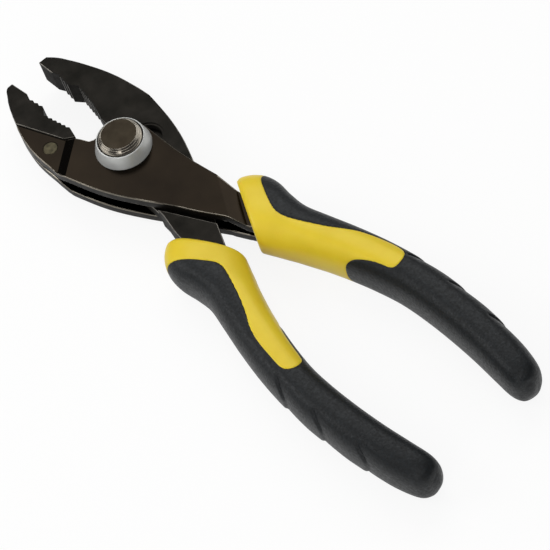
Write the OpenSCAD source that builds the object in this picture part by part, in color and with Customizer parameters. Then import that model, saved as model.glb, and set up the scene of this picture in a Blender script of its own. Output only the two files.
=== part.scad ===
// Slip joint pliers with a push button pivot, lying flat with the button up.
// The origin is on the pivot axis, at the outer face of the back cap.
// +X points to the jaws, +Y to the fixed jaw's side and +Z out of the button.
// Lever A is two steel plates round a toothed jaw; lever B is one forging between them.

/* [Reach] */
// Pivot axis to the jaw tips
jaw_reach = 47.5; // [44:0.5:52]
// Pivot axis to the ends of the grips
handle_reach = 152.5; // [140:0.5:165]
// Pivot axis to the place behind it where the grips and tangs begin to stretch
grip_start = 30.5; // [28:0.5:33]

/* [Plates] */
// Thickness of each side plate
plate_t = 3; // [2.4:0.1:3.6]
// Open gap between the plates at the pivot
plate_gap = 4.5; // [4.2:0.1:5.2]
// Gap left between the plates where they are joggled together
tongue_t = 1.8; // [1.4:0.1:2.4]
// Distance from the pivot to the front joggle's first crease
front_crease_d = 16.2; // [16:0.1:17]
// Length of the front joggle's slope
front_slope_l = 3.4; // [2.8:0.1:4]
// Distance from the pivot to the rear joggle's first crease
rear_crease_d = 24.8; // [23:0.1:26]
// Length of the rear joggle's slope
rear_slope_l = 4.5; // [3.5:0.1:5]
// Radius of the plates' round front end about the pivot
plate_nose_r = 9.4; // [9.1:0.1:9.5]

/* [Jaws] */
// Thickness of both jaws
jaw_t = 9; // [8.4:0.1:9.8]
// Depth of the small front notch in each jaw
notch_depth = 1.1; // [0.8:0.1:1.4]
// Depth of the toothed pipe recess in each jaw
recess_depth = 2.2; // [1.6:0.1:2.4]
// Height of a tooth
tooth_h = 0.5; // [0.3:0.05:0.6]
// Teeth in the pipe recess
recess_teeth = 6; // [5:1:8]
// Teeth in the front notch
notch_teeth = 3; // [2:1:4]
// How far the fixed jaw's nose falls back from its biting line
nose_relief = 0.5; // [0.2:0.1:0.8]
// Radius of the rivet through the fixed jaw
jaw_rivet_r = 2.4; // [2:0.1:2.8]

/* [Slip slot] */
// Travel of the slip, between the two places of the pin
slip_travel = 7.9; // [7.6:0.1:8.4]
// Half width of the slot in the lever
slot_r = 4.8; // [4.6:0.05:4.9]
// Lean of the slot, away from square to the tool
slot_lean = 6.5; // [4:0.5:9]
// Radius of the hub round the pin
hub_r = 7.6; // [7.2:0.1:7.7]
// Clearance between the hub and each plate
hub_clear = 0.05; // [0.03:0.01:0.08]
// Radius of the pocket that clears the plates
pocket_r = 10.4; // [10.3:0.1:10.6]
// Length of the slope from the pocket up to the jaw
pocket_slope = 4; // [3:0.1:5]

/* [Pivot] */
// Running clearance of round parts, on the radius
fit_clear = 0.05; // [0.03:0.01:0.08]
// Radius of the pin's journal in the upper plate
journal_r = 6; // [5.8:0.05:6.2]
// Radius of the pin's flange on the upper plate
flange_r = 6.7; // [6.5:0.05:6.75]
// Thickness of the pin's flange
flange_t = 0.8; // [0.6:0.1:1]
// Radius of the pin's neck, in the narrow floor of the slot and in the lower plate
neck_r = 3.2; // [3:0.05:3.4]
// Thickness of the narrow floor of the slot
slot_floor_t = 2; // [1.6:0.1:2.4]
// Radius of the stem that runs through the pin
stem_r = 1.6; // [1.4:0.05:1.8]
// Travel of the button
button_travel = 1; // [0.7:0.05:1.1]
// Thickness of the retaining ring and of the stem's clip
ring_t = 0.4; // [0.35:0.05:0.45]

/* [Button] */
// Radius of the button
button_r = 6.9; // [6.8:0.05:7.05]
// Gap between the button and the collar's bore
button_gap = 0.35; // [0.25:0.05:0.4]
// Width of the stepped bevel round the button's dark face
bevel_w = 1.35; // [1:0.05:1.7]
// Wall thickness of the collar at the plate
collar_base_t = 1.7; // [1.2:0.05:1.9]
// Wall thickness of the collar at its rim
collar_rim_t = 0.4; // [0.3:0.05:0.6]
// Height of the collar
collar_h = 4.5; // [4.2:0.1:5]
// Height that the button stands above the collar
button_proud = 1.9; // [1.8:0.1:2.2]
// Depth that the button's head sits in the collar at rest
head_sunk = 0.7; // [0.5:0.05:0.8]

/* [Back cap] */
// Radius of the back cap
cap_r = 7.6; // [7.2:0.1:8.2]
// Floor thickness of the back cap
cap_floor_t = 0.6; // [0.5:0.05:0.7]

/* [Spring] */
// Wire diameter of the return spring
wire_d = 0.4; // [0.3:0.05:0.45]
// Mean radius of the return spring
coil_r = 4.2; // [3.8:0.1:4.6]
// Turns of the return spring
coil_turns = 2; // [1.5:0.5:2.5]

/* [Grips] */
// Half thickness of a grip at its hump
grip_half_t = 8.6; // [8:0.1:9.2]
// Squareness of a grip's cross section
grip_power = 2.5; // [2:0.1:3]
// Radius of the tang rivets
tang_rivet_r = 1.8; // [1.5:0.1:2.2]

/* [Hidden] */
$fn = 64;
cut = 1;
round_sides = 20;
ring_steps = 2;
curve_steps = 3;
arc_steps = 12;

// Levels: the cap's outer face and the humps of the grips touch the bench at zero
mid_z = grip_half_t;
plate_in = plate_gap / 2;
plate_out = plate_in + plate_t;
cap_depth = mid_z - plate_out;
tang_out = tongue_t / 2 + plate_t;
hub_half = plate_in - hub_clear;
jaw_half = jaw_t / 2;
top_z = mid_z + plate_out;
rim_z = top_z + collar_h;
pin_r = slot_r - fit_clear;
face_r = button_r - bevel_w;
collar_bore_r = button_r + button_gap;
collar_rim_r = collar_bore_r + collar_rim_t;
collar_base_r = collar_bore_r + collar_base_t;
floor_z = mid_z - plate_in + hub_clear + slot_floor_t;

// Directions of the joggles and of the slot
front_turn = 36.6;
rear_turn = 240;
nose_from = -90;
nose_to = 10;
hub_from = -10;
hub_to = 110;
slot_dir = [sin(slot_lean), cos(slot_lean)];
slot_end = -slip_travel * slot_dir;

// Outlines of the head, as shares of the jaw reach
plate_back_shares = [[0.73, 0.329], [0.66, 0.358], [0.507, 0.396], [0.394, 0.408], [0.285, 0.41],
                     [0.17, 0.41], [0.02, 0.376], [-0.126, 0.333], [-0.26, 0.28],
                     [-0.42, 0.203], [-0.602, 0.108], [-0.758, 0.038], [-0.922, -0.047]];
plate_far_shares = [[-0.81, -0.238], [-0.644, -0.23], [-0.436, -0.208], [-0.274, -0.198]];
plate_throat_shares = [[0.2, 0.092], [0.215, 0.117], [0.274, 0.141], [0.305, 0.157]];
ledge_shares = [[0.373, 0.2], [0.383, 0.208]];
jaw_back_shares = [[1, 0.165], [0.991, 0.184], [0.972, 0.202], [0.924, 0.234], [0.88, 0.26],
                   [0.835, 0.283], [0.78, 0.308]];
jaw_root_shares = [[0.325, 0.146], [0.373, 0.2], [0.383, 0.208]];
tongue_shares = [[0.7, 0.2], [0.76, 0.312], [0.66, 0.358], [0.507, 0.396], [0.394, 0.408],
                 [0.24, 0.4], [0.375, 0.19]];
mover_back_shares = [[0.985, -0.13], [0.98, -0.16], [0.916, -0.205], [0.815, -0.253],
                     [0.697, -0.296], [0.585, -0.331], [0.472, -0.357], [0.347, -0.375],
                     [0.219, -0.386], [0.11, -0.381], [0, -0.367], [-0.126, -0.336],
                     [-0.25, -0.295], [-0.4, -0.232]];
mover_left_shares = [[-0.08, 0.139], [-0.253, 0.173], [-0.49, 0.182], [-0.598, 0.194],
                     [-0.733, 0.227], [-0.82, 0.242]];
mover_right_shares = [[-0.842, -0.013]];
shoulder_shares = [[-0.53, 0.187], [-0.909, 0.016]];
pocket_share = [[0.1, -0.061], [0.1, -0.2], [0, -0.3]];
jaw_rivet_share = [0.4, 0.307];

// Jaw mouths: distance of each biting edge from the axis, and where its features lie
fixed_edge_share = 0.12;
mover_edge_share = -0.098;
fixed_nose_share = 1;
mover_nose_share = 0.988;
flat_end_share = 0.857;
notch_floor_share = 0.8;
notch_end_share = 0.692;
recess_floor_share = 0.622;
recess_end_share = 0.415;
heel_share = 0.283;
heel_rise_share = 0.042;

// Tangs inside the grips, as shares of the handle reach, on the left grip's side
tang_inner_shares = [[-0.328, 0.027], [-0.393, 0.054], [-0.492, 0.088], [-0.59, 0.113],
                     [-0.689, 0.129], [-0.787, 0.132]];
tang_outer_shares = [[-0.787, 0.172], [-0.689, 0.173], [-0.59, 0.161], [-0.492, 0.138],
                     [-0.393, 0.107], [-0.328, 0.083]];
tang_rivet_shares = [[-0.47, 0.106], [-0.74, 0.15]];
core_start_share = -0.35;
grip_start_share = 0.2;

// Grip stations on the left grip's side: inner edge, outer edge and share of the half thickness
grip_shares = [
    [[-0.3655, 0.021], [-0.233, 0.0915], 0.81],
    [[-0.374, 0.0185], [-0.2345, 0.1035], 0.92],
    [[-0.384, 0.022], [-0.25, 0.1225], 0.965],
    [[-0.4, 0.029], [-0.274, 0.137], 0.99],
    [[-0.4205, 0.0376], [-0.306, 0.1416], 1],
    [[-0.443, 0.0478], [-0.346, 0.1368], 1],
    [[-0.4695, 0.0582], [-0.389, 0.1362], 0.99],
    [[-0.506, 0.0714], [-0.442, 0.149], 0.985],
    [[-0.5525, 0.0852], [-0.507, 0.166], 0.98],
    [[-0.606, 0.0982], [-0.5784, 0.1812], 0.98],
    [[-0.6614, 0.108], [-0.6494, 0.191], 0.985],
    [[-0.721, 0.1113], [-0.721, 0.1947], 0.995],
    [[-0.7875, 0.1105], [-0.7965, 0.1928], 1],
    [[-0.853, 0.1065], [-0.8685, 0.1863], 0.985],
    [[-0.9125, 0.1], [-0.9335, 0.175], 0.94],
    [[-0.955, 0.0955], [-0.977, 0.162], 0.86],
    [[-0.9815, 0.0988], [-0.995, 0.147], 0.68],
    [[-0.994, 0.1075], [-1, 0.135], 0.42]];
core_first = 2;
core_last = 15;
core_width_share = 0.62;
core_depth_share = 0.74;

// Edge of the hard shell's yellow field in plan, as shares of the handle reach
field_shares = [[-0.2, 0.2], [-0.284, 0.2], [-0.286, 0.144], [-0.295, 0.12], [-0.338, 0.0905],
                [-0.367, 0.078], [-0.393, 0.0787], [-0.449, 0.1023], [-0.485, 0.118],
                [-0.515, 0.1344], [-0.544, 0.147], [-0.623, 0.1626], [-0.639, 0.154],
                [-0.6426, 0.1311], [-0.633, 0.1239], [-0.6026, 0.1213], [-0.5744, 0.107],
                [-0.5593, 0.0918], [-0.562, 0.0734], [-0.567, 0], [-0.35, -0.02], [-0.2, 0.03]];

function sized(shares, size) = [for (p = shares) p * size];
// A place on the handles from its share: X stretches behind the grips' start
function handle_place(p) = [
    -grip_start + (p[0] + grip_start_share) * (handle_reach - grip_start) / (1 - grip_start_share),
    p[1] * handle_reach];
function handled(shares) = [for (p = shares) handle_place(p)];
function flipped(points) = [for (p = points) [p[0], -p[1]]];
// A smooth curve through points: cubics whose slopes come from their neighbours
function spline(a, b, c, d, t) =
    b + (c - a) * t / 2 + (2 * a - 5 * b + 4 * c - d) * t * t / 2
    + (3 * (b - c) + d - a) * t * t * t / 2;
function near(list, i) = list[max(0, min(len(list) - 1, i))];
function curved(points, steps) = concat(
    [for (i = [0 : len(points) - 2]) for (k = [0 : steps - 1])
        spline(near(points, i - 1), points[i], points[i + 1], near(points, i + 2), k / steps)],
    [points[len(points) - 1]]);
function reversed(points) = [for (i = [len(points) - 1 : -1 : 0]) points[i]];
function arc(r, from, to, steps) =
    [for (i = [0 : steps]) let (a = from + (to - from) * i / steps) [r * cos(a), r * sin(a)]];

// A run of teeth from x share a to b, whose tips rise from near the depth to the biting line
function toothed(a, b, depth, teeth) = let (last = 2 * teeth - 1)
    [for (i = [0 : last])
        [jaw_reach * (a + (b - a) * i / last),
         depth + (tooth_h - depth) * i / last - (i % 2 == 1 ? tooth_h : 0)]];

// The biting edge from nose to heel, as distance along X and depth away from the mouth
function bite(nose_share, relief) = concat(
    [[jaw_reach * nose_share, relief], [jaw_reach * flat_end_share, 0]],
    toothed(notch_floor_share, notch_end_share, notch_depth, notch_teeth),
    toothed(recess_floor_share, recess_end_share, recess_depth, recess_teeth));

function fixed_bite() =
    [for (p = bite(fixed_nose_share, nose_relief)) [p[0], jaw_reach * fixed_edge_share + p[1]]];
function mover_bite() =
    [for (p = bite(mover_nose_share, 0)) [p[0], jaw_reach * mover_edge_share - p[1]]];

module slab(points, half_t) {
    translate([0, 0, mid_z - half_t])
        linear_extrude(2 * half_t)
            polygon(points);
}

// A plate's bent side profile, carried along its crease; turn is the way the slope faces
module bent_sheet(turn, crease_d, slope_l, side) {
    end_d = crease_d + slope_l;
    reach = handle_reach;
    rise = [[-reach, plate_in], [crease_d, plate_in], [end_d, tongue_t / 2],
            [reach, tongue_t / 2], [reach, tang_out], [end_d, tang_out],
            [crease_d, plate_out], [-reach, plate_out]];
    translate([0, 0, mid_z])
        rotate([90, 0, turn])
            linear_extrude(2 * reach, center = true)
                polygon([for (p = rise) [p[0], side * p[1]]]);
}

function tang_outline() = concat(
    flipped(handled(tang_inner_shares)), flipped(handled(tang_outer_shares)));
function plate_outline() = concat(
    sized(curved(plate_back_shares, curve_steps), jaw_reach), tang_outline(),
    sized(plate_far_shares, jaw_reach), arc(plate_nose_r, nose_from, nose_to, arc_steps),
    sized(plate_throat_shares, jaw_reach), sized(ledge_shares, jaw_reach));

module half_plan(front) {
    low_x = front ? -plate_nose_r : -2 * handle_reach;
    high_x = front ? 2 * jaw_reach : -plate_nose_r;
    translate([low_x, -handle_reach, 0])
        cube([high_x - low_x, 2 * handle_reach, 2 * mid_z]);
}

// One side plate: flat round the pivot, joggled inwards in front and behind
module plate(side) {
    intersection() {
        slab(plate_outline(), plate_out);
        union() {
            intersection() {
                half_plan(true);
                bent_sheet(front_turn, front_crease_d, front_slope_l, side);
            }
            intersection() {
                half_plan(false);
                bent_sheet(rear_turn, rear_crease_d, rear_slope_l, side);
            }
        }
    }
}

module rivet_holes(places, r) {
    for (p = places)
        translate([p[0], p[1], -cut])
            cylinder(h = 2 * mid_z + 2 * cut, r = r);
}

module upper_plate() {
    color("dimgray")
        difference() {
            plate(1);
            translate([0, 0, mid_z])
                cylinder(h = plate_out + cut, r = journal_r + fit_clear);
            rivet_holes([jaw_reach * jaw_rivet_share], jaw_rivet_r);
            rivet_holes(flipped(handled(tang_rivet_shares)), tang_rivet_r);
        }
}

module lower_plate() {
    color("dimgray")
        difference() {
            plate(-1);
            translate([0, 0, mid_z - plate_out - cut])
                cylinder(h = plate_t + 2 * cut, r = neck_r + fit_clear);
            rivet_holes([jaw_reach * jaw_rivet_share], jaw_rivet_r);
            rivet_holes(flipped(handled(tang_rivet_shares)), tang_rivet_r);
        }
}

// The fixed jaw: a thick toothed edge on a thin tongue that the plates hold
module fixed_jaw() {
    color("#262624")
        difference() {
            union() {
                slab(concat(fixed_bite(), sized(jaw_root_shares, jaw_reach),
                            [jaw_reach * plate_back_shares[0]],
                            reversed(sized(curved(jaw_back_shares, curve_steps), jaw_reach))), jaw_half);
                slab(sized(tongue_shares, jaw_reach), tongue_t / 2);
            }
            rivet_holes([jaw_reach * jaw_rivet_share], jaw_rivet_r);
        }
}

module jaw_rivet() {
    p = jaw_reach * jaw_rivet_share;
    color("#6b6458")
        translate([p[0], p[1], mid_z - tang_out])
            cylinder(h = 2 * tang_out, r = jaw_rivet_r);
}

module tang_core() {
    color("#1c1a19")
        difference() {
            intersection() {
                slab(tang_outline(), tongue_t / 2);
                translate([-handle_reach, -handle_reach, 0])
                    cube([handle_reach + handle_place([core_start_share, 0])[0],
                          2 * handle_reach, 2 * mid_z]);
            }
            rivet_holes(flipped(handled(tang_rivet_shares)), tang_rivet_r);
        }
}

module tang_rivets() {
    color("silver")
        for (p = flipped(handled(tang_rivet_shares)))
            translate([p[0], p[1], mid_z - tang_out])
                cylinder(h = 2 * tang_out, r = tang_rivet_r);
}

// The collar: a turned cone that guides the button
module pivot_collar() {
    rim_round = (collar_rim_r - collar_bore_r) / 2;
    color("silver")
        translate([0, 0, top_z])
            rotate_extrude()
                polygon([[collar_bore_r, 0], [collar_base_r, 0], [collar_base_r, rim_round],
                         [collar_rim_r, collar_h - rim_round],
                         [collar_rim_r - rim_round, collar_h], [collar_bore_r, collar_h]]);
}

// The back cap: a shallow cup over the pin's lower end
module back_cap() {
    color("#4a443c")
        difference() {
            cylinder(h = cap_depth, r = cap_r);
            translate([0, 0, cap_floor_t])
                cylinder(h = cap_depth, r = ring_out_r() + 2 * fit_clear);
        }
}

function ring_out_r() = neck_r + 3 * ring_t;
function ring_z() = mid_z - plate_out - fit_clear - ring_t;
function pin_low_z() = ring_z() - ring_t;
function clip_z() = pin_low_z() - fit_clear - ring_t;
function stem_low_z() = cap_floor_t + fit_clear + button_travel;

// A flat spring clip, open at one side
module clip(inner_r, outer_r) {
    difference() {
        cylinder(h = ring_t, r = outer_r);
        translate([0, 0, -cut])
            cylinder(h = ring_t + 2 * cut, r = inner_r);
        translate([0, -inner_r / 2, -cut])
            cube([2 * outer_r, inner_r, ring_t + 2 * cut]);
    }
}

// A groove for such a clip
module groove(z, inner_r, outer_r) {
    translate([0, 0, z - fit_clear])
        difference() {
            cylinder(h = ring_t + 2 * fit_clear, r = outer_r + cut);
            translate([0, 0, -cut])
                cylinder(h = ring_t + 2 * cut, r = inner_r);
        }
}

// The pivot pin: flange, journal, the thick part in the slot and the neck below it
module pivot_pin() {
    color("#8d8d8a")
        difference() {
            union() {
                translate([0, 0, top_z + hub_clear])
                    cylinder(h = flange_t, r = flange_r);
                translate([0, 0, mid_z + plate_in])
                    cylinder(h = plate_t + hub_clear, r = journal_r);
                translate([0, 0, floor_z + fit_clear])
                    cylinder(h = mid_z + plate_in - floor_z - fit_clear, r = pin_r);
                translate([0, 0, pin_low_z()])
                    cylinder(h = floor_z + fit_clear - pin_low_z(), r = neck_r);
            }
            cylinder(h = rim_z, r = stem_r + fit_clear);
            groove(ring_z(), neck_r - ring_t, neck_r);
        }
}

module retaining_ring() {
    color("#55534f")
        translate([0, 0, ring_z()])
            clip(neck_r - ring_t + fit_clear, ring_out_r());
}

function head_low_z() = rim_z - head_sunk;
function spring_room() = head_low_z() - (top_z + hub_clear + flange_t);

// The button: a turned head with a bevel of three fine steps round a shallow seat
module push_button() {
    top = rim_z + button_proud;
    seat_t = button_proud / 4;
    step = (button_r - face_r) / 3;
    drop = button_proud / 3;
    color("lightgray")
        rotate_extrude()
            polygon([[0, head_low_z()], [button_r, head_low_z()], [button_r, top - 3 * drop],
                     [button_r - step * 0.8, top - 2 * drop], [button_r - step, top - 2 * drop],
                     [button_r - 1.8 * step, top - drop], [button_r - 2 * step, top - drop],
                     [face_r + step / 4, top], [face_r, top], [face_r, top - seat_t],
                     [0, top - seat_t]]);
}

module button_face() {
    top = rim_z + button_proud;
    seat_t = button_proud / 4;
    color("#4f483c")
        translate([0, 0, top - seat_t])
            cylinder(h = seat_t, r = face_r);
}

// The stem: slides in the pin; a clip under the pin's end stops it from coming out
module button_stem() {
    clip_groove_r = stem_r - ring_t;
    color("#9a9a97")
        difference() {
            translate([0, 0, stem_low_z()])
                cylinder(h = head_low_z() - stem_low_z(), r = stem_r);
            groove(clip_z(), clip_groove_r, stem_r);
        }
}

module stem_clip() {
    color("#77756f")
        translate([0, 0, clip_z()])
            clip(stem_r - ring_t + fit_clear, stem_r + 2 * ring_t);
}

// The return spring: one wire swept along a helix, with its ends on flange and head
coil_sides = 6;
coil_rings = 8;
function coil_rise() = spring_room() - wire_d;
function coil_point(t) =
    [coil_r * cos(360 * coil_turns * t), coil_r * sin(360 * coil_turns * t), coil_rise() * t];
function coil_ring(t) = let (a = 360 * coil_turns * t)
    [for (j = [0 : coil_sides - 1]) let (b = 360 * j / coil_sides, s = wire_d / 2)
        coil_point(t) + [s * cos(b) * cos(a), s * cos(b) * sin(a), s * sin(b)]];
coil_count = coil_rings * coil_turns;

module return_spring() {
    points = [for (i = [0 : coil_count]) each coil_ring(i / coil_count)];
    walls = [for (i = [0 : coil_count - 1]) for (j = [0 : coil_sides - 1])
        let (a = i * coil_sides + j, b = i * coil_sides + (j + 1) % coil_sides)
        each [[a, a + coil_sides, b + coil_sides], [a, b + coil_sides, b]]];
    first = [for (j = [1 : coil_sides - 2]) [0, j, j + 1]];
    last_base = coil_count * coil_sides;
    last = [for (j = [1 : coil_sides - 2]) [last_base, last_base + j + 1, last_base + j]];
    color("gainsboro")
        translate([0, 0, top_z + hub_clear + flange_t + wire_d / 2])
            polyhedron(points, concat(walls, first, last));
}
echo(spring_gap = coil_rise() / coil_turns - wire_d);

// The lever's thin web between the plates, from hub to tang
function mover_curve() = concat([mover_back_shares[0]],
    curved([for (i = [1 : len(mover_back_shares) - 1]) mover_back_shares[i]], curve_steps));
function web_outline() = concat(
    arc(hub_r, hub_from, hub_to, arc_steps), sized(mover_left_shares, jaw_reach),
    reversed(handled(tang_outer_shares)), reversed(handled(tang_inner_shares)),
    sized(mover_right_shares, jaw_reach),
    [for (p = reversed(sized(mover_curve(), jaw_reach))) if (p[0] < jaw_reach * heel_share) p],
    [jaw_reach * [heel_share, 2 * mover_edge_share],
     jaw_reach * [heel_share, mover_edge_share + heel_rise_share]]);

function mover_jaw_outline() = concat(
    mover_bite(), [jaw_reach * [heel_share, mover_edge_share + heel_rise_share]],
    sized(pocket_share, jaw_reach),
    [for (p = reversed(sized(mover_curve(), jaw_reach))) if (p[0] > 0) p]);

// The thick tail behind the plates, down to the tang in the grip
function tail_outline() = concat(
    sized(shoulder_shares, jaw_reach),
    handled(tang_inner_shares), handled(tang_outer_shares),
    [for (i = [len(mover_left_shares) - 1 : -1 : 3]) jaw_reach * mover_left_shares[i]]);

// A pocket that clears the plates on one face: sloped walls round both pin places
module plate_pocket() {
    depth = jaw_half - hub_half;
    top_r = pocket_r + pocket_slope;
    translate([0, 0, mid_z + hub_half]) {
        for (c = [[0, 0], slot_end])
            translate([c[0], c[1], 0]) {
                cylinder(h = depth, r1 = pocket_r, r2 = top_r);
                translate([0, 0, depth])
                    cylinder(h = cut, r = top_r);
            }
    }
}

// A slot with round seats; its walls stand back from them, so the pin slides freely
module slot_hole(r, z0, h) {
    half_w = r + fit_clear;
    for (c = [[0, 0], slot_end])
        translate([c[0], c[1], z0])
            cylinder(h = h, r = r);
    rotate([0, 0, -slot_lean])
        translate([-half_w, -slip_travel, z0])
            cube([2 * half_w, slip_travel, h]);
}

// Lever B: toothed jaw, thin web with the slip slot, thick tail and tang, in one forging
module jaw_lever() {
    rim = hub_half / 3;
    color("#2b2b29")
        difference() {
            union() {
                slab(web_outline(), hub_half);
                difference() {
                    slab(mover_jaw_outline(), jaw_half);
                    plate_pocket();
                    translate([0, 0, 2 * mid_z])
                        mirror([0, 0, 1])
                            plate_pocket();
                }
                slab(tail_outline(), jaw_half);
            }
            slot_hole(slot_r, floor_z, 2 * jaw_t);
            slot_hole(neck_r + fit_clear, mid_z - jaw_t, 2 * jaw_t);
            slot_hole(slot_r + rim, mid_z + hub_half - rim / 2, jaw_t);
        }
}

// Grip surface: stations joined by a smooth curve, each a rounded oblong on its edge line
function station(i) = near(grip_shares, i);
function blend_at(i, t) =
    [for (k = [0 : 2])
        spline(station(i - 1)[k], station(i)[k], station(i + 1)[k], station(i + 2)[k], t)];
function lobe(v) = sign(v) * pow(abs(v), 2 / grip_power);
function oblong(s, width, depth, sides) = let (inner = handle_place(s[0]),
    outer = handle_place(s[1]), c = (inner + outer) / 2, h = (outer - inner) / 2,
    v = s[2] * grip_half_t)
    [for (j = [0 : sides - 1]) let (a = 360 * j / sides)
        [c[0] + h[0] * width * lobe(cos(a)), c[1] + h[1] * width * lobe(cos(a)),
         mid_z + v * depth * lobe(sin(a))]];

module loft(first, last, steps, width, depth, sides) {
    count = (last - first) * steps;
    points = [for (i = [0 : count]) let (k = min(last - 1, first + floor(i / steps)))
        each oblong(blend_at(k, first + i / steps - k), width, depth, sides)];
    walls = [for (i = [0 : count - 1]) for (j = [0 : sides - 1])
        let (a = i * sides + j, b = i * sides + (j + 1) % sides)
        each [[a, b + sides, a + sides], [a, b, b + sides]]];
    front_cap = [for (j = [1 : sides - 2]) [0, j + 1, j]];
    end_base = count * sides;
    end_cap = [for (j = [1 : sides - 2]) [end_base, end_base + j, end_base + j + 1]];
    polyhedron(points, concat(walls, front_cap, end_cap));
}

module grip_form() {
    loft(0, len(grip_shares) - 1, ring_steps, 1, 1, round_sides);
}
module grip_core() {
    loft(core_first, core_last, 1, core_width_share, core_depth_share, 12);
}
module field() {
    translate([0, 0, mid_z - 2 * grip_half_t])
        linear_extrude(4 * grip_half_t)
            polygon(handled(field_shares));
}

module grip_body() {
    intersection() {
        grip_form();
        union() {
            field();
            grip_core();
        }
    }
}
module grip_cover() {
    difference() {
        grip_form();
        field();
        grip_core();
    }
}

// Room in the grips for what they are moulded over
module plate_room() {
    slab(plate_outline(), tang_out);
}
module lever_room() {
    slab(tail_outline(), jaw_half);
    slab(web_outline(), hub_half);
}

module right_grip_body() {
    color("gold")
        difference() {
            mirror([0, 1, 0])
                grip_body();
            plate_room();
        }
}
module right_grip_cover() {
    color("#333436")
        difference() {
            mirror([0, 1, 0])
                grip_cover();
            plate_room();
        }
}
module left_grip_body() {
    color("gold")
        difference() {
            grip_body();
            lever_room();
        }
}
module left_grip_cover() {
    color("#333436")
        difference() {
            grip_cover();
            lever_room();
        }
}

upper_plate();
lower_plate();
fixed_jaw();
jaw_rivet();
tang_core();
tang_rivets();
pivot_collar();
back_cap();
pivot_pin();
retaining_ring();
push_button();
button_face();
button_stem();
stem_clip();
return_spring();
jaw_lever();
right_grip_body();
right_grip_cover();
left_grip_body();
left_grip_cover();
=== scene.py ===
"""Slip joint pliers with a push button pivot: finishes, moulded grips, studio and camera.

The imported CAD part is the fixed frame. Steel parts are the CAD shapes with their edges
eased, turned parts are profiles carried round the pivot axis, and each grip is a surface
worked out from the same stations as the CAD grip, split into a hard shell and a soft cover.
"""
from __future__ import annotations

import logging
import math
from dataclasses import dataclass
from enum import Enum

import bmesh
import bpy
import numpy as np
from mathutils import Matrix, Vector
from mathutils.geometry import delaunay_2d_cdt


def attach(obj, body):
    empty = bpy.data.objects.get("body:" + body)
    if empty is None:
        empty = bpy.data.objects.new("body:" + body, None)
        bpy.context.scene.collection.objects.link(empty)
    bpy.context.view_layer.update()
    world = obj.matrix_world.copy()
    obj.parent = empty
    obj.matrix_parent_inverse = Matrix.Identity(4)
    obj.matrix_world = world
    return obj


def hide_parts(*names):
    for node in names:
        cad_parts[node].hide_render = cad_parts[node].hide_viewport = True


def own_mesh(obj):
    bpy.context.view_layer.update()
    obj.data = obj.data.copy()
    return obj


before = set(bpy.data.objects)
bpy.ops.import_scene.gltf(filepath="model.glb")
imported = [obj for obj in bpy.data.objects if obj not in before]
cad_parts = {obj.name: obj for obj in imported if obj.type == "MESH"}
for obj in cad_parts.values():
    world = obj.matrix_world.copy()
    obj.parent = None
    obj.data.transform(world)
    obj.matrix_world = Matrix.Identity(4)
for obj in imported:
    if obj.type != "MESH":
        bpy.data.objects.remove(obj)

log = logging.getLogger("pliers")
# One millimetre in metres
MM = 0.001
# Height of the tool's middle plane over the bench, in millimetres
MID_Z = 8.6
# Points closer together than this are one point
MERGE_MM = 0.0005
# The least divisor
TINY = 1e-12
# Two or three lengths, coordinates or shares
Pair = tuple[float, float]
Triple = tuple[float, float, float]
# Short names of types
Array = np.ndarray
Piece = bpy.types.Object
Tree = bpy.types.NodeTree
Socket = bpy.types.NodeSocket
# Material slots of an eased steel part: faces, chamfers with painted highlights, upright walls
# with painted shade
FACE_SLOT, EDGE_HIGHLIGHT_SLOT, WALL_SHADE_SLOT = range(3)
# The jaw lever's half thickness, its hub's, and the length of the slope between them
JAW_HALF, HUB_HALF, HUB_RAMP = 4.5, 2.2, 4.0
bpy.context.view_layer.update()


def linear(hex_colour: str) -> tuple[float, float, float, float]:
    """Turns an sRGB hex colour into linear light.

    Args:
        hex_colour: six hex digits, with or without a leading mark.

    Returns:
        Red, green, blue and an alpha of one.
    """
    digits = hex_colour.lstrip("#")
    srgb = np.array([int(digits[i:i + 2], 16) / 255 for i in (0, 2, 4)])
    values = np.where(srgb <= 0.04045, srgb / 12.92, ((srgb + 0.055) / 1.055) ** 2.4)
    return (*values.tolist(), 1.0)


def add(tree: Tree, kind: str, settings: dict | None = None,
        links: dict | None = None) -> bpy.types.Node:
    """Adds a node to a tree.

    Args:
        tree: the node tree.
        kind: the node's type name.
        settings: attribute or input name to value; a name that is no attribute is an input.
        links: input name or number to the output socket that feeds it.

    Returns:
        The new node.
    """
    node = tree.nodes.new(kind)
    for name, value in (settings or {}).items():
        if isinstance(name, str) and hasattr(node, name):
            setattr(node, name, value)
        else:
            node.inputs[name].default_value = value
    for name, socket in (links or {}).items():
        tree.links.new(socket, node.inputs[name])
    return node


def ramp(tree: Tree, factor: Socket, stops: list[tuple[float, tuple]]) -> Socket:
    """Adds a colour ramp.

    Args:
        tree: the node tree.
        factor: the socket that drives it.
        stops: positions with their colours, in rising order.

    Returns:
        The ramp's colour output.
    """
    node = add(tree, "ShaderNodeValToRGB", links={"Fac": factor})
    elements = node.color_ramp.elements
    while len(elements) < len(stops):
        elements.new(0.5)
    for element, (position, colour) in zip(elements, stops):
        element.position = position
        element.color = colour
    return node.outputs["Color"]


def larger(tree: Tree, first: Socket, second: Socket) -> Socket:
    """Adds the larger of two values: either ray, where both are ray kinds.

    Args:
        tree: the node tree.
        first: one value's socket.
        second: the other's.

    Returns:
        The larger value's output.
    """
    return add(tree, "ShaderNodeMath", {"operation": "MAXIMUM"},
               {0: first, 1: second}).outputs["Value"]


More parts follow.
